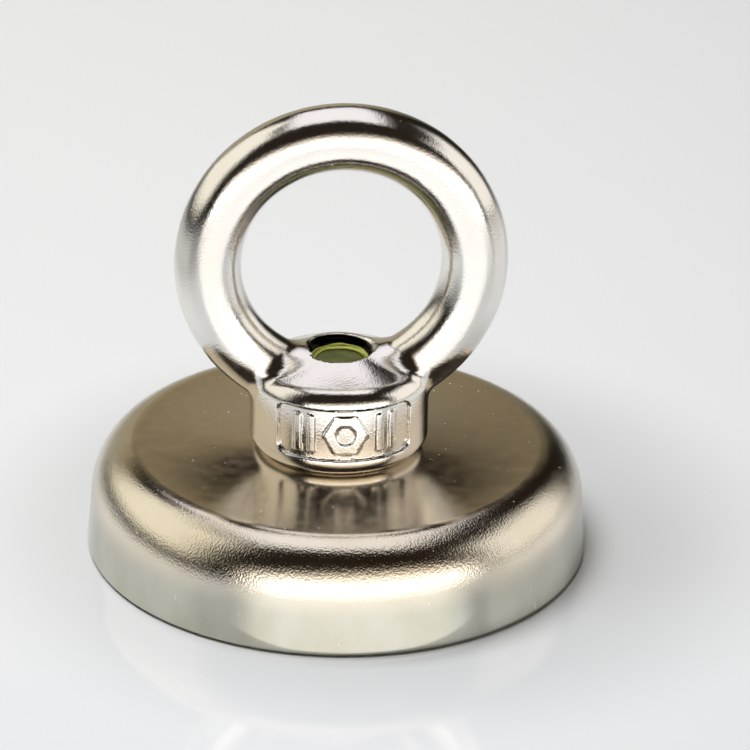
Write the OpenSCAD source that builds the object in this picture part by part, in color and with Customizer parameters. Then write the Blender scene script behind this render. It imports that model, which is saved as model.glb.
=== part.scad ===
// Magnet fishing magnet: a nickel-plated steel pot magnet with a screwed-on eye nut.
// Millimetres, +Z up. The origin is the centre of the magnetic face, on the plane it grips.
// The eye's ring lies in the XZ plane, so a rope or shackle passes through it along Y.

/* [Steel cup] */
// Outer diameter of the cup at its open rim
cup_d = 42; // [41:0.5:48]
// Height of the cup
cup_h = 9.2; // [9:0.1:11]
// Thickness of the cup's wall at its rim
cup_wall = 2.4; // [2:0.1:2.8]
// Thickness of the cup's floor, which carries the screw's head
cup_floor = 4.5; // [4.2:0.1:5]
// Draft angle of the cup's outer wall, in degrees
cup_draft = 4; // [0:0.5:6]
// Width of the rounded corner between the wall and the flat top
corner_w = 3.95; // [2:0.05:5]
// Height of the rounded corner between the wall and the flat top
corner_h = 4.8; // [2:0.05:6]
// Radius of the rim's outer edge
rim_round = 0.5; // [0.2:0.1:0.9]

/* [Magnet and resin] */
// Outer diameter of the neodymium ring
magnet_d = 36; // [32:0.5:36]
// Bore of the neodymium ring
magnet_bore = 13.5; // [13.5:0.5:16]
// How far the magnet's face lies behind the rim
magnet_recess = 0.1; // [0.05:0.05:0.3]
// Thickness of the glue between the magnet and the cup's floor
glue_t = 0.2; // [0.1:0.05:0.4]
// Thickness of the resin lining in the magnet's bore
lining_t = 0.3; // [0.1:0.05:0.35]
// How far the resin lies behind the rim
resin_recess = 0.15; // [0.1:0.05:0.4]

/* [Screw] */
// Nominal diameter of the thread
thread_d = 6; // [6:1:6]
// Pitch of the thread
thread_pitch = 1; // [0.75:0.25:1]
// Overall length of the countersunk screw
screw_len = 12; // [11:0.5:12.5]
// Diameter of the screw's head
head_d = 12; // [11:0.5:12]
// Height of the straight edge around the head
head_edge = 0.3; // [0.2:0.1:0.4]
// Size of the hexagon socket across its flats
socket_af = 4; // [3:0.5:4]
// Depth of the hexagon socket
socket_depth = 2.5; // [2:0.1:2.7]
// Chamfer at the screw's end
end_chamfer = 0.8; // [0.5:0.1:1]
// How far the cured compound has crept up the nut's thread, above the screw's end
bead_climb = 0.5; // [0.2:0.1:0.7]

/* [Eye nut] */
// Radius of the circle along the middle of the ring
ring_r = 11; // [10:0.25:12]
// Radius of the ring's round section
ring_tube_r = 2.75; // [2.5:0.05:3]
// Height of the ring's centre above the nut's seat
ring_h = 16.25; // [15.5:0.25:17.5]
// Radius of the collar
collar_r = 7.5; // [7:0.1:8]
// Height of the collar's straight side
collar_h = 6.2; // [5.8:0.1:6.5]
// Radius of the collar's lower edge
collar_low_round = 1.3; // [0.5:0.1:1.5]
// Radius of the collar's upper edge
collar_high_round = 1.2; // [0.8:0.05:1.4]
// Slope of the cone above the collar, in degrees
cone_slope = 20; // [15:1:25]
// Radius of the flat land around the thread's mouth
land_r = 3.2; // [3.1:0.1:3.6]

/* [Collar panels] */
// Width of each recessed panel
panel_w = 10.8; // [9:0.2:11.4]
// Height of each recessed panel
panel_h = 4.3; // [4:0.1:4.6]
// Height of the panels' middle above the nut's seat
panel_mid_z = 3.8; // [3.7:0.05:4]
// Depth of each recessed panel
panel_depth = 0.3; // [0.2:0.05:0.4]
// Corner radius of each recessed panel
panel_round = 0.6; // [0.3:0.1:1]
// Width of the raised hexagon across its flats
glyph_af = 3.3; // [2.8:0.1:3.4]

/* [Hidden] */
$fn = 96;
cup_r = cup_d / 2;
cup_inner_r = cup_r - cup_wall;
floor_z = cup_h - cup_floor;
magnet_top_z = floor_z - glue_t;
magnet_bore_r = magnet_bore / 2;
// The screw's head sits flush in a 90 degree countersink in the cup's floor.
head_r = head_d / 2;
head_z = floor_z - 0.1;
seat_sum = head_r + head_z + head_edge;
sink_r = seat_sum - floor_z;
hole_r = thread_d / 2 + 0.3;
// Threads are drawn as plain cylinders at their pitch diameter.
thread_r = thread_d / 2 - 0.325 * thread_pitch;
screw_end_z = head_z + screw_len;
thread_gap = 0.05;
nut_bore_r = thread_r + thread_gap;
bead_r = nut_bore_r - 0.02;
bead_foot_z = screw_end_z - end_chamfer;
bead_lip = 0.2;
// The eye nut's seat is the cup's flat top.
seat_z = cup_h;
shoulder_r = collar_r - collar_high_round;
cone_r = shoulder_r + collar_high_round * sin(cone_slope);
cone_z = collar_h + collar_high_round * cos(cone_slope);
land_z = cone_z + (cone_r - land_r) * tan(cone_slope);
mouth_chamfer = 0.25;
glyph_height = 0.22;
bar_w = 0.6;
bar_gap = 1.1;
bar_count = 2;
cut = 1;

// Points along an elliptical arc, from one angle to another.
function arc(centre, width, height, from, to, steps = 16) =
    [for (i = [0:steps])
        let (a = from + (to - from) * i / steps)
        [centre[0] + width * cos(a), centre[1] + height * sin(a)]];

module revolve(points) {
    rotate_extrude() polygon(points);
}

module ring(outer_r, inner_r, low_z, high_z) {
    translate([0, 0, low_z])
        difference() {
            cylinder(h = high_z - low_z, r = outer_r);
            translate([0, 0, -cut]) cylinder(h = high_z - low_z + 2 * cut, r = inner_r);
        }
}

// Pressed steel cup, open downwards, with a countersunk hole for the screw.
module steel_cup() {
    draft = tan(cup_draft);
    start = atan(corner_h / corner_w * draft);
    corner_z = cup_h - corner_h;
    corner_x = cup_r - (corner_z + corner_h * sin(start)) * draft - corner_w * cos(start);
    color("silver")
        revolve(concat(
            [[cup_inner_r, 0]],
            arc([cup_r - rim_round, rim_round], rim_round, rim_round, -90, 0, 8),
            arc([corner_x, corner_z], corner_w, corner_h, start, 90),
            [[hole_r, cup_h], [hole_r, seat_sum - hole_r], [sink_r, floor_z], [cup_inner_r, floor_z]]));
}

// Neodymium ring that grips the target, just behind the rim.
module ring_magnet() {
    color("gainsboro") ring(magnet_d / 2, magnet_bore_r, magnet_recess, magnet_top_z);
}

// Cured glue between the magnet and the cup's floor.
module magnet_glue_film() {
    color("dimgray") ring(magnet_d / 2, magnet_bore_r, magnet_top_z, floor_z);
}

// Resin that fills the gap between the magnet and the cup's wall.
module outer_epoxy_seal() {
    color("black") ring(cup_inner_r, magnet_d / 2, resin_recess, floor_z);
}

// Resin lining of the magnet's bore, around the screw's head.
module inner_epoxy_seal() {
    color("black") ring(magnet_bore_r, magnet_bore_r - lining_t, resin_recess, floor_z);
}

// Countersunk socket screw, head down, with a chamfered end.
module socket_screw() {
    color("lightgray")
        difference() {
            revolve([
                [0, head_z],
                [head_r, head_z],
                [head_r, head_z + head_edge],
                [thread_r, seat_sum - thread_r],
                [thread_r, bead_foot_z],
                [thread_r - end_chamfer, screw_end_z],
                [0, screw_end_z]]);
            translate([0, 0, head_z - cut])
                linear_extrude(socket_depth + cut)
                    circle(r = socket_af / sqrt(3), $fn = 6);
        }
}

// Ring of cured thread-retaining compound, squeezed out between the screw's chamfer and the nut.
module thread_lock_bead() {
    inner = thread_r - end_chamfer * 0.75;
    color("yellowgreen")
        revolve([
            [thread_r, bead_foot_z],
            [bead_r, bead_foot_z],
            [bead_r, screw_end_z + bead_climb],
            [bead_r - bead_lip, screw_end_z + bead_climb],
            [inner, bead_foot_z + thread_r - inner]]);
}

// Rounded rectangle in the XZ plane that reaches along Y from the origin to far_y.
module rounded_block(width, height, radius, far_y) {
    rotate([90, 0, 0])
        linear_extrude(-far_y)
            union() {
                square([width - 2 * radius, height], center = true);
                square([width, height - 2 * radius], center = true);
                for (sx = [-1, 1], sz = [-1, 1])
                    translate([sx * (width / 2 - radius), sz * (height / 2 - radius)])
                        circle(r = radius, $fn = 24);
            }
}

// Raised decoration of a panel: a hexagon with a round hole, and bars on both sides.
module panel_relief() {
    intersection() {
        ring(collar_r - panel_depth + glyph_height, collar_r - 2 * panel_depth, collar_low_round, collar_h);
        translate([0, 0, panel_mid_z])
            rotate([90, 0, 0])
                linear_extrude(collar_r)
                    union() {
                        difference() {
                            circle(r = glyph_af / sqrt(3), $fn = 6);
                            circle(r = glyph_af * 0.24, $fn = 32);
                        }
                        for (side = [-1, 1], i = [0:bar_count - 1])
                            translate([side * (glyph_af * 0.85 + i * bar_gap), 0])
                                square([bar_w, glyph_af], center = true);
                    }
    }
}

// Shallow panel sunk into one side of the collar, with its raised relief left standing.
module panel_cut() {
    difference() {
        intersection() {
            ring(collar_r + cut, collar_r - panel_depth, 0, collar_h + cut);
            translate([0, 0, panel_mid_z]) rounded_block(panel_w, panel_h, panel_round, -collar_r - cut);
        }
        panel_relief();
    }
}

// Cast eye nut: ring, collar, cone and threaded hole in one piece.
module eye_nut() {
    color("whitesmoke")
        translate([0, 0, seat_z])
            difference() {
                union() {
                    translate([0, 0, ring_h])
                        rotate([90, 0, 0])
                            rotate_extrude() translate([ring_r, 0]) circle(r = ring_tube_r, $fn = 48);
                    revolve(concat(
                        [[0, 0]],
                        arc([collar_r - collar_low_round, collar_low_round],
                            collar_low_round, collar_low_round, -90, 0, 8),
                        arc([shoulder_r, collar_h],
                            collar_high_round, collar_high_round, 0, 90 - cone_slope, 8),
                        [[land_r, land_z], [0, land_z]]));
                }
                translate([0, 0, -cut]) cylinder(h = land_z + 2 * cut, r = nut_bore_r);
                translate([0, 0, land_z - mouth_chamfer])
                    cylinder(h = mouth_chamfer, r1 = nut_bore_r, r2 = nut_bore_r + mouth_chamfer);
                panel_cut();
                mirror([0, 1, 0]) panel_cut();
            }
}

steel_cup();
ring_magnet();
magnet_glue_film();
outer_epoxy_seal();
inner_epoxy_seal();
socket_screw();
thread_lock_bead();
eye_nut();
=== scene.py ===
"""Looks of a magnet fishing magnet: a nickel-plated pot magnet with a screwed-on eye nut.

Shapes are worked out in millimetres in the part's own frame and become metres when a mesh is
made. The cup, magnet and resin are turned profiles. The casting and the screw are distance
fields that a surface net turns into meshes, so that every edge and joint has a real fillet.
"""

import math

import bpy
import numpy as np
from mathutils import Matrix, Vector


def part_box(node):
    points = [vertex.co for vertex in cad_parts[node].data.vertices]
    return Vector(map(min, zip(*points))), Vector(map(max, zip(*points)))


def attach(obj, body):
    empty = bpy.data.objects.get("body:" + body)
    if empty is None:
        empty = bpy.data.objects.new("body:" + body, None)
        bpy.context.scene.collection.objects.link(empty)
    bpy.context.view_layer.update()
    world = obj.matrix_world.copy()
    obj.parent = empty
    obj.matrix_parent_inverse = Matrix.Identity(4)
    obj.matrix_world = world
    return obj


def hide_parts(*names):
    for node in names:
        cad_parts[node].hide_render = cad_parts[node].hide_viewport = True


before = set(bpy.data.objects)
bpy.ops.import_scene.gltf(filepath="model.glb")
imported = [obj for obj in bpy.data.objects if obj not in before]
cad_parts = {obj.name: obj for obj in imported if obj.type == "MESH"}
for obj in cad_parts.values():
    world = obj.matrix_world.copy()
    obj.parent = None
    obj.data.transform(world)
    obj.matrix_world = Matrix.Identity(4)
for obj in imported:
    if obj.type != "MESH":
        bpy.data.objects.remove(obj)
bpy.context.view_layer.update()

MM = 0.001


def mm_box(node):
    """Lowest and highest corner of a CAD node, in millimetres."""
    low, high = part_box(node)
    return Vector(low) / MM, Vector(high) / MM


# Sizes read from the frame.
cup_low, cup_high = mm_box("steel_cup")
CUP_R = cup_high.x
CUP_H = cup_high.z
magnet_low, magnet_high = mm_box("ring_magnet")
MAGNET_R = magnet_high.x
MAGNET_Z = magnet_low.z
MAGNET_TOP = magnet_high.z
outer_low, outer_high = mm_box("outer_epoxy_seal")
CUP_INNER_R = outer_high.x
RESIN_Z = outer_low.z
FLOOR_Z = outer_high.z
BORE_R = mm_box("inner_epoxy_seal")[1].x
screw_low, screw_high = mm_box("socket_screw")
HEAD_R = screw_high.x
HEAD_Z = screw_low.z
SCREW_END = screw_high.z
bead_low, bead_high = mm_box("thread_lock_bead")
nut_low, nut_high = mm_box("eye_nut")
SEAT_Z = nut_low.z
RING_OUTER = nut_high.x

# Sizes of the cup that its box doesn't tell.
CUP_DRAFT = math.tan(math.radians(4))
CORNER_W = 3.95
CORNER_H = 4.8
SCREW_HOLE_R = 3.3

# Sizes of the casting.
RING_TUBE = 2.75
RING_R = RING_OUTER - RING_TUBE
RING_Z = nut_high.z - RING_OUTER
COLLAR_R = nut_high.y
COLLAR_LOW_ROUND = 1.3
COLLAR_TAPER = 0.07
COLLAR_HIGH_ROUND = 1.05
CONE_SLOPE = math.radians(20)
BACK_STEEPER = math.radians(5)
LAND_R = 2.95
LAND_Z = SEAT_Z + 8.6
PANEL_Z = SEAT_Z + 3.8
PANEL_W = 10.8
PANEL_H = 4.3
PANEL_DEPTH = 0.3
MOUTH_R = 2.55

# Sizes of the panel's raised decoration.
HEXAGON_HALF = 1.65
HEXAGON_HOLE_R = 0.8
BARS_X = 3.35
BAR_OFFSET = 0.55
BAR_HALF_W = 0.3

# Sizes of the screw.
HEAD_EDGE = 0.3
SOCKET_HALF = 2.0
SOCKET_DEPTH = 2.5
SOCKET_RIM_R = 2.55

# Metric thread, 1 mm pitch.
PITCH = 1.0
NUT_CREST_R = 2.47
NUT_ROOT_R = 3.02
SCREW_CREST_R = 2.96
SCREW_ROOT_R = 2.42

# These turn a sum of radius and height, or a radial gap to a thread, into a distance.
CHAMFER = math.sqrt(0.5)
FLANK = 0.7


# ---------------------------------------------------------------- mesh helpers


def new_piece(name, vertices_mm, faces, normals, body, node, material):
    """A smooth-shaded mesh piece that rides on a body and stands for a CAD node."""
    mesh = bpy.data.meshes.new(name)
    mesh.from_pydata((np.asarray(vertices_mm) * MM).tolist(), [], faces)
    mesh.update()
    mesh.shade_smooth()
    mesh.normals_split_custom_set_from_vertices(np.asarray(normals).tolist())
    piece = bpy.data.objects.new(name, mesh)
    bpy.context.scene.collection.objects.link(piece)
    piece.data.materials.append(material)
    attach(piece, body)
    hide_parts(node)
    return piece


def rounded_profile(corners, steps=6):
    """Points and normals of a closed (r, z) outline whose corners (r, z, radius) are rounded.

    The outline runs with the solid on its left, so normals point to its right.
    """
    points, normals = [], []
    count = len(corners)
    for i, (r, z, radius) in enumerate(corners):
        here = Vector((r, z))
        before = Vector(corners[i - 1][:2])
        after = Vector(corners[(i + 1) % count][:2])
        way_in = (here - before).normalized()
        way_out = (after - here).normalized()
        normal_in = Vector((way_in.y, -way_in.x))
        normal_out = Vector((way_out.y, -way_out.x))
        turn = way_in.angle_signed(way_out)
        reach = radius * math.tan(abs(turn) / 2)
        side = 1 if way_in.cross(way_out) > 0 else -1
        centre = here - way_in * reach - normal_in * radius * side
        for step in range(steps + 1):
            blend = step / steps
            normal = (normal_in * (1 - blend) + normal_out * blend).normalized()
            points.append(centre + normal * radius * side)
            normals.append(normal)
    return points, normals


def subdivided(points, normals, longest=0.6):
    """The same closed outline with extra points along its straight stretches."""
    new_points, new_normals = [], []
    count = len(points)
    for i in range(count):
        a, b = points[i], points[(i + 1) % count]
        na, nb = normals[i], normals[(i + 1) % count]
        parts = max(1, math.ceil((b - a).length / longest))
        for k in range(parts):
            new_points.append(a.lerp(b, k / parts))
            new_normals.append(na.lerp(nb, k / parts).normalized())
    return new_points, new_normals


def turned(name, points, normals, segments, body, node, material):
    """A closed outline turned about the Z axis."""
    angles = np.linspace(0, 2 * math.pi, segments, endpoint=False)
    cosines, sines = np.cos(angles), np.sin(angles)
    vertices, vertex_normals = [], []
    for point, normal in zip(points, normals):
        for c, s in zip(cosines, sines):
            vertices.append((point.x * c, point.x * s, point.y))
            vertex_normals.append((normal.x * c, normal.x * s, normal.y))
    faces = []
    rows = len(points)
    for i in range(rows):
        j = (i + 1) % rows
        for k in range(segments):
            m = (k + 1) % segments
            faces.append((i * segments + k, i * segments + m, j * segments + m, j * segments + k))
    return new_piece(name, vertices, faces, vertex_normals, body, node, material)


def round_and(a, b, radius):
    """Where both fields are solid, with a rounded outer edge."""
    sharp = np.minimum(np.maximum(a, b), -radius)
    return sharp + np.hypot(np.maximum(a + radius, 0), np.maximum(b + radius, 0))


def round_or(a, b, radius):
    """Where either field is solid, with a fillet in the inner corner."""
    sharp = np.maximum(np.minimum(a, b), radius)
    return sharp - np.hypot(np.maximum(radius - a, 0), np.maximum(radius - b, 0))


def box_2d(u, v, half_u, half_v, radius):
    """Distance to a rounded rectangle around the origin."""
    du = np.abs(u) - half_u + radius
    dv = np.abs(v) - half_v + radius
    outside = np.hypot(np.maximum(du, 0), np.maximum(dv, 0))
    return outside + np.minimum(np.maximum(du, dv), 0) - radius


def hexagon_2d(u, v, half_flats):
    """Distance to a hexagon around the origin with flats above and below."""
    slant = math.radians(30)
    leaning = np.abs(u) * math.cos(slant) + np.abs(v) * math.sin(slant)
    return np.maximum(np.abs(v), leaning) - half_flats


def thread_radius(x, y, z, root_r, crest_r):
    """Radius of a right-handed V thread with rounded crests and roots."""
    turn = z / PITCH - np.arctan2(y, x) / (2 * math.pi)
    ramp = np.abs(2 * (turn - np.floor(turn)) - 1)
    wave = 0.5 - 0.5 * np.cos(math.pi * ramp)
    return root_r + (crest_r - root_r) * (0.7 * ramp + 0.3 * wave)


def gradient(field, points, step=0.004):
    """Slope of a field at points."""
    slope = np.empty_like(points)
    for axis in range(3):
        ahead, behind = points.copy(), points.copy()
        ahead[:, axis] += step
        behind[:, axis] -= step
        slope[:, axis] = (field(*ahead.T) - field(*behind.T)) / (2 * step)
    return slope


def surface_net(field, low, high, cell):
    """Closed quad mesh of a distance field's zero surface, with exact points and normals."""
    axes = [np.arange(low[i] - 2 * cell, high[i] + 3 * cell, cell) for i in range(3)]
    grid = np.meshgrid(*axes, indexing="ij")
    values = field(*grid)
    solid = values < 0
    shape = np.array(values.shape) - 1

    # One vertex in each cell that the surface crosses, at the mean of its edge crossings.
    total = np.zeros((*shape, 3))
    count = np.zeros(shape)
    corners = [(i, j, k) for i in (0, 1) for j in (0, 1) for k in (0, 1)]
    for start in corners:
        for axis in range(3):
            if start[axis]:
                continue
            end = list(start)
            end[axis] = 1
            sa = tuple(slice(s, s + n) for s, n in zip(start, shape))
            sb = tuple(slice(s, s + n) for s, n in zip(end, shape))
            crossed = solid[sa] != solid[sb]
            va, vb = values[sa][crossed], values[sb][crossed]
            along = va / (va - vb)
            place = np.array(start, float) + np.outer(along, np.array(end) - np.array(start))
            total[crossed] += place
            count[crossed] += 1
    used = count > 0
    index = np.full(shape, -1)
    index[used] = np.arange(used.sum())
    cells = np.argwhere(used)
    origin = np.array([axis[0] for axis in axes])
    points = origin + (cells + total[used] / count[used][:, None]) * cell

    # One quad around each grid edge that the surface crosses.
    quads = []
    for axis in range(3):
        b, c = (axis + 1) % 3, (axis + 2) % 3
        first = [slice(1, n) for n in shape]
        first[axis] = slice(0, shape[axis])
        second = list(first)
        second[axis] = slice(1, shape[axis] + 1)
        inner_a, inner_b = solid[tuple(first)], solid[tuple(second)]
        for out, flip in ((inner_a & ~inner_b, False), (~inner_a & inner_b, True)):
            place = np.argwhere(out)
            place[:, b] += 1
            place[:, c] += 1
            ring = []
            for db, dc in ((1, 1), (0, 1), (0, 0), (1, 0)):
                corner = place.copy()
                corner[:, b] -= db
                corner[:, c] -= dc
                ring.append(index[tuple(corner.T)])
            quad = np.stack(ring, axis=1)
            quads.append(quad[:, ::-1] if flip else quad)
    quads = np.concatenate(quads)

    # Slide each vertex onto the zero surface, with the step held below a cell.
    for _ in range(4):
        slope = gradient(field, points)
        step = field(*points.T)[:, None] * slope / np.maximum((slope**2).sum(1), 0.05)[:, None]
        points -= np.clip(step, -0.4 * cell, 0.4 * cell)
    normals = gradient(field, points)
    normals /= np.linalg.norm(normals, axis=1)[:, None]
    return points, quads, normals


def netted(name, field, low, high, cell, body, node, material):
    """A piece made from a distance field."""
    points, quads, normals = surface_net(field, low, high, cell)
    return new_piece(name, points, quads.tolist(), normals, body, node, material)


# ---------------------------------------------------------------- distance fields


def glyph(x, z):
    """Outline of the panel's raised decoration: a hexagonal nut between upright bars."""
    nut = np.maximum(hexagon_2d(x, z, HEXAGON_HALF), HEXAGON_HOLE_R - np.hypot(x, z))
    bars = box_2d(np.abs(np.abs(x) - BARS_X) - BAR_OFFSET, z, BAR_HALF_W, HEXAGON_HALF, 0.15)
    return np.minimum(nut, bars)


def eye_nut_field(x, y, z):
    """The casting: ring, collar, cone, panels and threaded hole."""
    rho = np.hypot(x, y)
    # A casting is never quite true.
    waves = 0.012 + 0.012 * np.sin(1.3 * x + 1.0) * np.sin(1.1 * y + 2.0) * np.sin(0.9 * z + 0.5)
    ring = np.hypot(np.hypot(x, z - RING_Z) - RING_R, y) - RING_TUBE

    # The cone falls away a little more steeply at the back.
    slope = CONE_SLOPE + BACK_STEEPER * np.clip(y / np.maximum(rho, 1), 0, 1)
    cone = (z - LAND_Z) * np.cos(slope) + (rho - LAND_R) * np.sin(slope)
    # The collar's front and back lean inwards a little, and its sides are upright.
    facing = (y / np.maximum(rho, 1)) ** 2
    lean = np.maximum(z - SEAT_Z - COLLAR_LOW_ROUND, 0) * facing
    side = rho - COLLAR_R + COLLAR_TAPER * lean
    collar = round_and(side, SEAT_Z - z, COLLAR_LOW_ROUND)
    collar = round_and(collar, cone, COLLAR_HIGH_ROUND)
    collar = round_and(collar, z - LAND_Z, 0.1)

    # A recessed panel in front and behind, with its relief standing up from its floor.
    panel = box_2d(x, z - PANEL_Z, PANEL_W / 2, PANEL_H / 2, 0.7)
    panel = np.maximum(panel, COLLAR_R - PANEL_DEPTH - 0.6 * COLLAR_TAPER * lean - rho)
    collar = round_and(collar, -panel, 0.18)
    relief = round_and(glyph(x, z - PANEL_Z), side + 0.04, 0.15)
    collar = round_or(collar, relief, 0.1)

    # The fillet between ring and collar grows from the collar's side to its top.
    fillet = 0.5 + 0.7 * np.clip((z - LAND_Z + 2.6) / 1.6, 0, 1)
    body = round_or(ring, collar, fillet) + waves
    thread = (rho - thread_radius(x, y, z, NUT_CREST_R, NUT_ROOT_R)) * FLANK
    mouth = (rho - MOUTH_R + (LAND_Z - z)) * CHAMFER
    foot = (rho - SCREW_HOLE_R + (z - SEAT_Z)) * CHAMFER
    # The cut ends just above the land, below the top of the ring.
    hole = np.maximum(np.minimum(np.minimum(thread, mouth), foot), z - LAND_Z - 0.6)
    return round_and(body, -hole, 0.05)


def screw_field(x, y, z):
    """Countersunk M6 socket screw, head down."""
    rho = np.hypot(x, y)
    head_cone = (rho + z - HEAD_R - HEAD_Z - HEAD_EDGE) * CHAMFER
    head = round_and(head_cone, rho - HEAD_R, 0.08)
    thread = (rho - thread_radius(x, y, z, SCREW_ROOT_R, SCREW_CREST_R)) * FLANK
    end = (rho + z - SCREW_END - 2.0) * CHAMFER
    shank = np.maximum(thread, end)
    screw = round_or(head, shank, 0.1)
    screw = round_and(screw, z - SCREW_END, 0.06)
    screw = round_and(screw, HEAD_Z - z, 0.08)
    socket = np.maximum(hexagon_2d(x, y, SOCKET_HALF), z - HEAD_Z - SOCKET_DEPTH)
    socket_rim = (rho - SOCKET_RIM_R + (z - HEAD_Z)) * CHAMFER
    drill_point = (rho + (z - HEAD_Z - SOCKET_DEPTH) * 1.7 - 1.9) * 0.5
    socket = np.minimum(np.minimum(socket, socket_rim), drill_point)
    return round_and(screw, -socket, 0.05)


def bead_field(x, y, z):
    """Ring of cured compound that fills the nut's thread above the screw's chamfer."""
    rho = np.hypot(x, y)
    angle = np.arctan2(y, x)
    wobble = 0.05 * np.sin(3 * angle + 1.0) + 0.03 * np.sin(7 * angle)
    outer = rho - NUT_CREST_R + 0.02
    ridges = 0.05 * np.cos(2 * math.pi * (z - SCREW_END) / 0.3 + angle)
    meniscus = 2.05 + wobble + 0.7 * np.maximum(z - SCREW_END, 0) + ridges
    inner = np.maximum(meniscus, 2.02 + (SCREW_END - z)) - rho
    top = z - bead_high.z + 0.15 + wobble
    return round_and(round_and(outer, inner, 0.06), np.maximum(top, bead_low.z - z), 0.08)


# ---------------------------------------------------------------- materials


def principled(name):
    """A new material with its nodes, links, shader and texture coordinates."""
    material = bpy.data.materials.new(name)
    material.use_nodes = True
    nodes, links = material.node_tree.nodes, material.node_tree.links
    nodes.clear()
    output = nodes.new("ShaderNodeOutputMaterial")
    shader = nodes.new("ShaderNodeBsdfPrincipled")
    links.new(shader.outputs["BSDF"], output.inputs["Surface"])
    place = nodes.new("ShaderNodeTexCoord")
    return material, nodes, links, shader, place


def noise(nodes, links, place, per_mm, detail=2.0, stretch=(1, 1, 1)):
    """A noise texture with so many cells per millimetre."""
    mapping = nodes.new("ShaderNodeMapping")
    mapping.inputs["Scale"].default_value = [s * per_mm / MM for s in stretch]
    links.new(place.outputs["Object"], mapping.inputs["Vector"])
    texture = nodes.new("ShaderNodeTexNoise")
    texture.inputs["Scale"].default_value = 1.0
    texture.inputs["Detail"].default_value = detail
    links.new(mapping.outputs["Vector"], texture.inputs["Vector"])
    return texture


def ranged(nodes, links, source, from_low, from_high, to_low, to_high):
    """The source remapped from one range to another, and clamped."""
    node = nodes.new("ShaderNodeMapRange")
    links.new(source, node.inputs["Value"])
    node.inputs["From Min"].default_value = from_low
    node.inputs["From Max"].default_value = from_high
    node.inputs["To Min"].default_value = to_low
    node.inputs["To Max"].default_value = to_high
    return node.outputs["Result"]


def product(nodes, links, a, b):
    """Two outputs multiplied."""
    node = nodes.new("ShaderNodeMath")
    node.operation = "MULTIPLY"
    links.new(a, node.inputs[0])
    links.new(b, node.inputs[1])
    return node.outputs["Value"]


def blended(nodes, links, factor, colour_a, colour_b):
    """A colour between two, by a factor output. Either colour may be an output."""
    node = nodes.new("ShaderNodeMix")
    node.data_type = "RGBA"
    links.new(factor, node.inputs["Factor"])
    for socket, colour in ((node.inputs[6], colour_a), (node.inputs[7], colour_b)):
        if isinstance(colour, tuple):
            socket.default_value = (*colour, 1)
        else:
            links.new(colour, socket)
    return node.outputs[2]


def bumped(nodes, links, height, depth_mm, previous=None):
    """A bump of so many millimetres, on top of an earlier one."""
    node = nodes.new("ShaderNodeBump")
    node.inputs["Distance"].default_value = depth_mm * MM
    node.inputs["Strength"].default_value = 1.0
    links.new(height, node.inputs["Height"])
    if previous is not None:
        links.new(previous, node.inputs["Normal"])
    return node.outputs["Normal"]


def span(nodes, links, place, axis_scale, low_mm, high_mm, to_low=0.0, to_high=1.0,
         centre_mm=(0, 0, 0)):
    """A soft step along the distance from a centre, measured with each axis scaled."""
    mapping = nodes.new("ShaderNodeMapping")
    mapping.inputs["Location"].default_value = [-c * s * MM for c, s in zip(centre_mm, axis_scale)]
    mapping.inputs["Scale"].default_value = axis_scale
    links.new(place.outputs["Object"], mapping.inputs["Vector"])
    length = nodes.new("ShaderNodeVectorMath")
    length.operation = "LENGTH"
    links.new(mapping.outputs["Vector"], length.inputs[0])
    step = ranged(nodes, links, length.outputs["Value"], low_mm * MM, high_mm * MM, to_low, to_high)
    step.node.interpolation_type = "SMOOTHSTEP"
    return step


def nickel(name, clean, tarnished, roughness, grain_mm, wave_mm, adapt=None):
    """Nickel plate: fine orange peel, long waves, patchy tint, smeared gloss and sparse dust.

    adapt returns colour, grain strength and dullness for a piece whose plate or painted shade isn't
    the same all over. The last two may be None.
    """
    material, nodes, links, shader, place = principled(name)
    patches = noise(nodes, links, place, 0.12, 3)
    cloud = ranged(nodes, links, patches.outputs["Fac"], 0.35, 0.7, 0, 1)
    colour = blended(nodes, links, cloud, clean, tarnished)
    smears = noise(nodes, links, place, 0.9, 4)
    rough = ranged(nodes, links, smears.outputs["Fac"], 0.3, 0.7, roughness * 0.8, roughness * 1.25)
    strength, dullness = None, None
    if adapt:
        colour, strength, dullness = adapt(nodes, links, place, colour)
    if dullness is not None:
        rough = product(nodes, links, rough, dullness)
    specks = noise(nodes, links, place, 3.1, 1)
    dust = ranged(nodes, links, specks.outputs["Fac"], 0.78, 0.82, 0, 1)
    links.new(blended(nodes, links, dust, colour, (0.8, 0.78, 0.72)), shader.inputs["Base Color"])
    links.new(ranged(nodes, links, dust, 0, 1, 1, 0.25), shader.inputs["Metallic"])
    roughen = nodes.new("ShaderNodeMath")
    roughen.operation = "MAXIMUM"
    links.new(rough, roughen.inputs[0])
    links.new(ranged(nodes, links, dust, 0, 1, 0, 0.6), roughen.inputs[1])
    links.new(roughen.outputs["Value"], shader.inputs["Roughness"])

    grain = noise(nodes, links, place, 5.5, 4)
    waves = noise(nodes, links, place, 0.35, 1)
    normal = bumped(nodes, links, grain.outputs["Fac"], grain_mm)
    if strength is not None:
        links.new(strength, normal.node.inputs["Strength"])
    normal = bumped(nodes, links, waves.outputs["Fac"], wave_mm, normal)
    links.new(normal, shader.inputs["Normal"])
    return material


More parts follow.
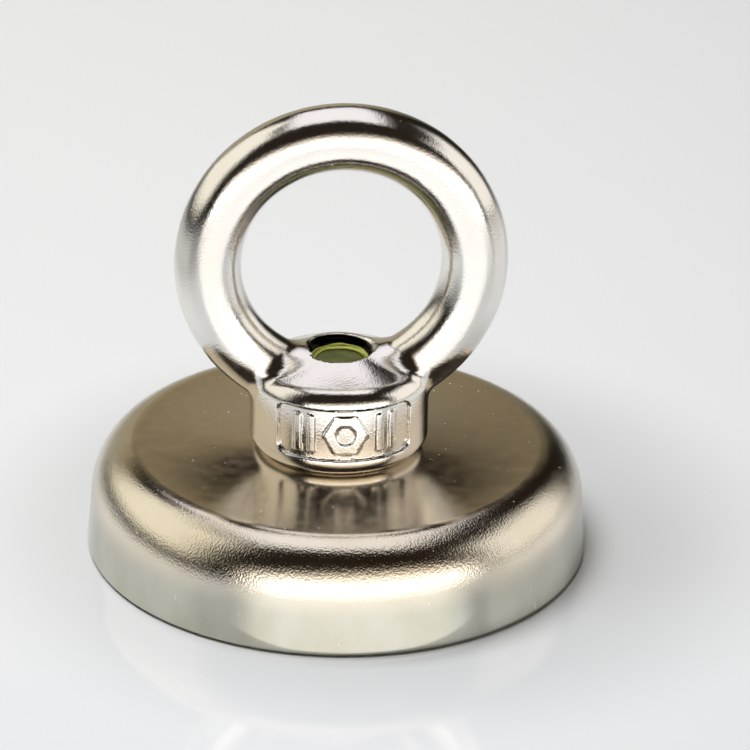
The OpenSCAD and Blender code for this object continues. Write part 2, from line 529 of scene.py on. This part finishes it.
def cup_plate_and_shade(nodes, links, place, colour):
    """Painted reflection and shade: browner on the flat top and darker on the wall. Streaked, with
    worn chips, on the wall; grainiest on the rounded corner.
    """
    top = span(nodes, links, place, (0, 0, 1), CUP_H - 0.08, CUP_H - 0.02)
    wall = span(nodes, links, place, (0, 0, 1), 3.0, 6.0, 1, 0)
    # Painted reflection: the flat top is browner and darker than the plate, standing in for the dim
    # brown room it mirrors.
    colour = blended(nodes, links, top, colour, (0.56, 0.49, 0.385))
    # Painted shade: the lower wall is darker than the clean plate, with random streaks in it and
    # lighter worn chips on top.
    streaks = noise(nodes, links, place, 0.4, 3, (1, 1, 0.5))
    streak = ranged(nodes, links, streaks.outputs["Fac"], 0.35, 0.7, 0, 1)
    wall_shade_streaks = blended(nodes, links, streak, (0.53, 0.525, 0.465), (0.485, 0.47, 0.385))
    chips = noise(nodes, links, place, 3.0, 1, (1, 1, 0.3))
    chip = ranged(nodes, links, chips.outputs["Fac"], 0.76, 0.82, 0, 1)
    wall_shade_and_wear = blended(nodes, links, chip, wall_shade_streaks, (0.70, 0.69, 0.64))
    colour = blended(nodes, links, wall, colour, wall_shade_and_wear)
    off_axis = span(nodes, links, place, (1, 1, 0), 16.8, 18.6, 0.12, 1.0)
    above_wall = span(nodes, links, place, (0, 0, 1), 3.6, 5.2, 0.15, 1.0)
    dullness = ranged(nodes, links, top, 0, 1, 1.0, 1.6)
    return colour, product(nodes, links, off_axis, above_wall), dullness


def eye_bore_shade(nodes, links, place, colour):
    """Painted shade: black inside the threaded hole, below the land."""
    near_axis = span(nodes, links, place, (1, 1, 0), 3.1, 3.15, 1, 0)
    below_land = span(nodes, links, place, (0, 0, 1), LAND_Z - 0.12, LAND_Z - 0.04, 1, 0)
    # Painted shade: near black within 3.1 mm of the axis and below the land.
    bore = product(nodes, links, near_axis, below_land)
    return blended(nodes, links, bore, colour, (0.012, 0.011, 0.01)), None, None


def screw_plate(nodes, links, place, colour):
    """A green film of thread-lock compound on the screw's end."""
    end = span(nodes, links, place, (0, 0, 1), SCREW_END - 1.2, SCREW_END - 0.4)
    grain = ranged(nodes, links, end, 0, 1, 1, 2)
    return blended(nodes, links, end, colour, (0.36, 0.39, 0.16)), grain, grain


def resin(name, colour, roughness):
    """Cast resin with a slightly wavy skin."""
    material, nodes, links, shader, place = principled(name)
    cloud = noise(nodes, links, place, 0.8, 3)
    tint = blended(nodes, links, cloud.outputs["Fac"], colour, tuple(c * 1.8 for c in colour))
    links.new(tint, shader.inputs["Base Color"])
    rough = ranged(nodes, links, cloud.outputs["Fac"], 0.3, 0.7, roughness * 0.7, roughness * 1.4)
    links.new(rough, shader.inputs["Roughness"])
    skin = noise(nodes, links, place, 1.2, 2)
    links.new(bumped(nodes, links, skin.outputs["Fac"], 0.05), shader.inputs["Normal"])
    return material


CUP_NICKEL = nickel(
    "cup_nickel", (0.70, 0.65, 0.56), (0.64, 0.58, 0.47), 0.11, 0.03, 0.02, cup_plate_and_shade)
EYE_NICKEL = nickel(
    "eye_nickel", (0.77, 0.75, 0.715), (0.72, 0.695, 0.65), 0.12, 0.014, 0.02, eye_bore_shade)
SCREW_NICKEL = nickel(
    "screw_nickel", (0.66, 0.65, 0.60), (0.52, 0.53, 0.40), 0.22, 0.006, 0.01, screw_plate)
MAGNET_NICKEL = nickel("magnet_nickel", (0.72, 0.71, 0.68), (0.66, 0.64, 0.60), 0.25, 0.006, 0.02)
BLACK_RESIN = resin("black_resin", (0.012, 0.012, 0.012), 0.3)
GLUE = resin("glue", (0.1, 0.09, 0.08), 0.4)
THREAD_LOCK = resin("thread_lock", (0.46, 0.50, 0.09), 0.15)


# ---------------------------------------------------------------- pieces


def make_cup():
    """Cup: rounded rim, drafted wall, large elliptical corner, flat top, countersunk hole."""
    start = math.atan(CORNER_H / CORNER_W * CUP_DRAFT)
    corner_z = CUP_H - CORNER_H
    wall_z = corner_z + CORNER_H * math.sin(start)
    wall_x = CUP_R - wall_z * CUP_DRAFT
    corner_x = wall_x - CORNER_W * math.cos(start)

    seat_sum = HEAD_R + HEAD_Z + HEAD_EDGE
    corners = [
        (SCREW_HOLE_R, CUP_H, 0.1),
        (SCREW_HOLE_R, seat_sum - SCREW_HOLE_R, 0.1),
        (seat_sum - FLOOR_Z, FLOOR_Z, 0.1),
        (CUP_INNER_R, FLOOR_Z, 0.3),
        (CUP_INNER_R, 0, 0.25),
        (CUP_R + 0.5 * CUP_DRAFT, 0, 0.5),
        (wall_x, wall_z, 0.0),
    ]
    steps = 8
    points, normals = rounded_profile(corners, steps)
    # The elliptical arc stands in for the last corner.
    points, normals = points[:-steps - 1], normals[:-steps - 1]
    arc_steps = 48
    for i in range(arc_steps + 1):
        angle = start + (math.pi / 2 - start) * i / arc_steps
        along, up = math.cos(angle), math.sin(angle)
        points.append(Vector((corner_x + CORNER_W * along, corner_z + CORNER_H * up)))
        normals.append(Vector((along / CORNER_W, up / CORNER_H)).normalized())
    points, normals = subdivided(points, normals)
    turned("cup_shell", points, normals, 288, "magnet_pot", "steel_cup", CUP_NICKEL)


def make_magnet():
    """Ring magnet with rounded edges."""
    corners = [
        (BORE_R, MAGNET_TOP, 0.1),
        (BORE_R, MAGNET_Z, 0.35),
        (MAGNET_R, MAGNET_Z, 0.35),
        (MAGNET_R, MAGNET_TOP, 0.1),
    ]
    points, normals = subdivided(*rounded_profile(corners))
    turned("magnet_ring", points, normals, 192, "magnet_pot", "ring_magnet",
           MAGNET_NICKEL)


def make_seals():
    """Resin between magnet and cup, and the thin resin lining of the magnet's bore."""
    outer = [
        (MAGNET_R, FLOOR_Z, 0.05),
        (MAGNET_R, RESIN_Z, 0.05),
        (CUP_INNER_R, RESIN_Z, 0.05),
        (CUP_INNER_R, FLOOR_Z, 0.05),
    ]
    points, normals = subdivided(*rounded_profile(outer))
    turned("rim_resin", points, normals, 192, "magnet_pot", "outer_epoxy_seal",
           BLACK_RESIN)
    inner = [
        (BORE_R - 0.3, FLOOR_Z, 0.05),
        (BORE_R - 0.3, RESIN_Z, 0.12),
        (BORE_R, RESIN_Z, 0.05),
        (BORE_R, FLOOR_Z, 0.05),
    ]
    points, normals = subdivided(*rounded_profile(inner))
    turned("bore_resin", points, normals, 128, "magnet_pot", "inner_epoxy_seal",
           BLACK_RESIN)


def make_castings():
    """Eye nut, screw and compound."""
    netted("eye_casting", eye_nut_field, nut_low, nut_high, 0.18,
           "eye_nut", "eye_nut", EYE_NICKEL)
    netted("cap_screw", screw_field, screw_low, screw_high, 0.13,
           "magnet_pot", "socket_screw", SCREW_NICKEL)
    netted("compound_bead", bead_field, bead_low, bead_high, 0.08,
           "thread_lock", "thread_lock_bead", THREAD_LOCK)


make_cup()
make_magnet()
make_seals()
make_castings()
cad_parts["magnet_glue_film"].data.materials.clear()
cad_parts["magnet_glue_film"].data.materials.append(GLUE)


# ---------------------------------------------------------------- floor, light and camera


def emitter(name, low_colour, high_colour, strength, fades, stripes=0.0, clear=False):
    """Light whose colour changes from its low edge to its high edge, with soft borders.

    fades are the widths of the soft borders at the first side, last side, low and high edge,
    as shares of the light's size. stripes is how much weaker the light is between its tubes.
    A clear light adds to what lies behind it, and shines only from its front face.
    """
    material = bpy.data.materials.new(name)
    material.use_nodes = True
    nodes, links = material.node_tree.nodes, material.node_tree.links
    nodes.clear()
    output = nodes.new("ShaderNodeOutputMaterial")
    shader = nodes.new("ShaderNodeEmission")
    place = nodes.new("ShaderNodeTexCoord")
    split = nodes.new("ShaderNodeSeparateXYZ")
    links.new(place.outputs["UV"], split.inputs["Vector"])
    across, up = split.outputs["X"], split.outputs["Y"]
    links.new(blended(nodes, links, up, low_colour, high_colour), shader.inputs["Color"])

    first, last, low, high = (max(fade, 0.001) for fade in fades)
    borders = ((across, 0, first), (across, 1, 1 - last), (up, 0, low), (up, 1, 1 - high))
    level = None
    for source, start, end in borders:
        border = ranged(nodes, links, source, start, end, 0, 1)
        border.node.interpolation_type = "SMOOTHSTEP"
        level = border if level is None else product(nodes, links, level, border)
    if stripes:
        tubes = nodes.new("ShaderNodeTexWave")
        tubes.bands_direction = "Y"
        tubes.inputs["Scale"].default_value = 3.2
        links.new(place.outputs["UV"], tubes.inputs["Vector"])
        tube_level = ranged(nodes, links, tubes.outputs["Fac"], 0.2, 0.8, 1 - stripes, 1)
        level = product(nodes, links, level, tube_level)
    surface = shader.outputs["Emission"]
    if clear:
        facing = nodes.new("ShaderNodeNewGeometry")
        front_only = ranged(nodes, links, facing.outputs["Backfacing"], 0, 1, 1, 0)
        level = product(nodes, links, level, front_only)
        both = nodes.new("ShaderNodeAddShader")
        links.new(nodes.new("ShaderNodeBsdfTransparent").outputs["BSDF"], both.inputs[0])
        links.new(surface, both.inputs[1])
        surface = both.outputs["Shader"]
    links.new(ranged(nodes, links, level, 0, 1, 0, strength), shader.inputs["Strength"])
    links.new(surface, output.inputs["Surface"])
    return material


def panel(name, low_edge, high_edge, material):
    """A light between two edges of equally many points, seen in reflections only."""
    count = len(low_edge)
    faces = [(i, i + 1, count + i + 1, count + i) for i in range(count - 1)]
    mesh = bpy.data.meshes.new(name)
    mesh.from_pydata([*low_edge, *high_edge], [], faces)
    layer = mesh.uv_layers.new(name="share")
    for loop, corner in zip(mesh.loops, layer.data):
        up, along = divmod(loop.vertex_index, count)
        corner.uv = (along / (count - 1), up)
    light = bpy.data.objects.new(name, mesh)
    bpy.context.scene.collection.objects.link(light)
    light.data.materials.append(material)
    light.visible_camera = False
    light.visible_shadow = False
    light.visible_diffuse = False


def make_floor():
    """A plain pale glossy floor, with a painted shadow around the object and painted shade towards
    its left.
    """
    material, nodes, links, shader, place = principled("floor_acrylic")
    cloud = noise(nodes, links, place, 0.01, 2)
    tint = blended(nodes, links, cloud.outputs["Fac"], (0.87, 0.87, 0.875), (0.89, 0.89, 0.89))
    # Painted contact shadow: the floor is greyer within 21 to 40 mm of a point just right of and
    # behind the axis.
    near = span(nodes, links, place, (1, 1, 0), 21, 40, 1, 0, (4, 2, 0))
    tint = blended(nodes, links, near, tint, (0.66, 0.665, 0.67))
    # Painted shade: the floor greys with distance from x = 50 mm, from 92 to 125 mm, towards its
    # left.
    left = span(nodes, links, place, (1, 0, 0), 92, 125, 0, 1, (50, 0, 0))
    tint = blended(nodes, links, left, tint, (0.56, 0.565, 0.57))
    links.new(tint, shader.inputs["Base Color"])
    shader.inputs["Roughness"].default_value = 0.07
    mesh = bpy.data.meshes.new("floor")
    reach = 4.0
    corners = [(-reach, -reach, 0), (reach, -reach, 0), (reach, reach, 0), (-reach, reach, 0)]
    mesh.from_pydata(corners, [], [(0, 1, 2, 3)])
    floor = bpy.data.objects.new("floor", mesh)
    bpy.context.scene.collection.objects.link(floor)
    floor.data.materials.append(material)


def wall_panel(name, azimuths, low, high, crown, material, distance=0.75):
    """An upright curved light between two azimuths, measured from the front (-Y) towards +X.

    It reaches from one elevation to another in degrees, and its top drops by crown at both ends.
    """
    low_edge, high_edge = [], []
    columns = 24
    for i in range(columns + 1):
        share = i / columns
        azimuth = math.radians(azimuths[0] + (azimuths[1] - azimuths[0]) * share)
        x, y = distance * math.sin(azimuth), -distance * math.cos(azimuth)
        top = high - crown * (2 * share - 1) ** 2
        low_edge.append((x, y, distance * math.tan(math.radians(low))))
        high_edge.append((x, y, distance * math.tan(math.radians(top))))
    panel(name, low_edge, high_edge, material)


def make_lights():
    """Light from overhead, from the front, both sides and a brown wall behind, in a dark room."""
    world = bpy.data.worlds.new("dark_studio")
    bpy.context.scene.world = world
    world.use_nodes = True
    background = world.node_tree.nodes["Background"]
    background.inputs["Color"].default_value = (1.0, 0.72, 0.5, 1)
    background.inputs["Strength"].default_value = 0.022

    height = 0.55
    front_edge = [(-0.27, -0.09, height), (0.25, -0.14, height)]
    back_edge = [(-0.18, 0.62, height), (0.20, 0.60, height)]
    tubes = emitter("overhead_light", (1.0, 0.98, 1.0), (0.97, 0.93, 1.0), 1.3,
                    fades=(0.05, 0.05, 0.02, 0.04), stripes=0.12)
    panel("overhead_light", front_edge, back_edge, tubes)

    # Name, low and high colour, strength, fades, azimuths, low and high elevation, crown.
    walls = [
        ("front_light", (1.0, 0.99, 0.97), (1.0, 0.84, 0.66), 2.9, (0.03, 0.08, 0.0, 1.0),
         (-45, 62), -1, 39, 14),
        ("left_light", (1.0, 0.95, 0.82), (1.0, 0.97, 0.88), 1.2, (0.25, 0.12, 0.15, 0.15),
         (-60, -150), 0, 60, 0),
        ("right_light", (1.0, 0.95, 0.88), (1.0, 0.95, 0.9), 1.2, (0.1, 0.3, 0.0, 0.4),
         (64, 136), 1, 47, 0),
        ("rear_wall", (1.0, 0.95, 0.78), (1.0, 0.83, 0.52), 0.43, (0.4, 0.1, 0.0, 0.12),
         (148, 224), 0, 31, 0),
    ]
    for name, low_colour, high_colour, strength, fades, azimuths, low, high, crown in walls:
        card = emitter(name, low_colour, high_colour, strength, fades)
        wall_panel(name, azimuths, low, high, crown, card)

    key = bpy.data.lights.new("key_light", "AREA")
    key.shape = "DISK"
    key.size = 0.6
    lamp(key, 8.0, (0.97, 0.985, 1.0), (-0.2, 0.03, 0.8), (0, 0, 0))

    # A clear card just above the floor that fans out from the cup's front foot.
    columns = range(12, -13, -1)
    near_edge = [(0.001 + 0.0013 * i, -0.0212, 0.0002) for i in columns]
    far_edge = [(0.02 + 0.0135 * i, -0.14, 0.0002) for i in columns]
    bounce = emitter("bounce_light", (1.0, 0.98, 0.95), (0.3, 0.3, 0.3), 0.58,
                     fades=(0.25, 0.2, 0.0, 0.3), clear=True)
    panel("bounce_light", near_edge, far_edge, bounce)


def lamp(light, energy, colour, place, target):
    """A lamp that lights the floor and the resin, and doesn't show in reflections."""
    light.energy = energy
    light.color = colour
    holder = bpy.data.objects.new(light.name, light)
    bpy.context.scene.collection.objects.link(holder)
    holder.location = place
    holder.rotation_euler = (Vector(place) - Vector(target)).to_track_quat("Z", "Y").to_euler()
    holder.visible_camera = False
    holder.visible_glossy = False


def make_camera():
    """Long lens, a little to the left of the eye's face and looking down on the cup."""
    azimuth, elevation, roll = math.radians(-5.57), math.radians(25.16), math.radians(1.36)
    distance = 0.3286
    aim = Vector((0.00295, -0.0003, 0.01525))
    back = Vector((
        math.sin(azimuth) * math.cos(elevation),
        -math.cos(azimuth) * math.cos(elevation),
        math.sin(elevation),
    ))
    camera_data = bpy.data.cameras.new("camera")
    camera_data.lens = 189.7
    camera_data.clip_start = 0.01
    camera_data.clip_end = 20
    camera = bpy.data.objects.new("camera", camera_data)
    bpy.context.scene.collection.objects.link(camera)
    level = (-back).to_track_quat("-Z", "Y").to_matrix().to_4x4()
    place = Matrix.Translation(aim + back * distance)
    camera.matrix_world = place @ level @ Matrix.Rotation(roll, 4, "Z")
    bpy.context.scene.camera = camera


make_floor()
make_lights()
make_camera()
bpy.context.scene.view_settings.view_transform = "Standard"
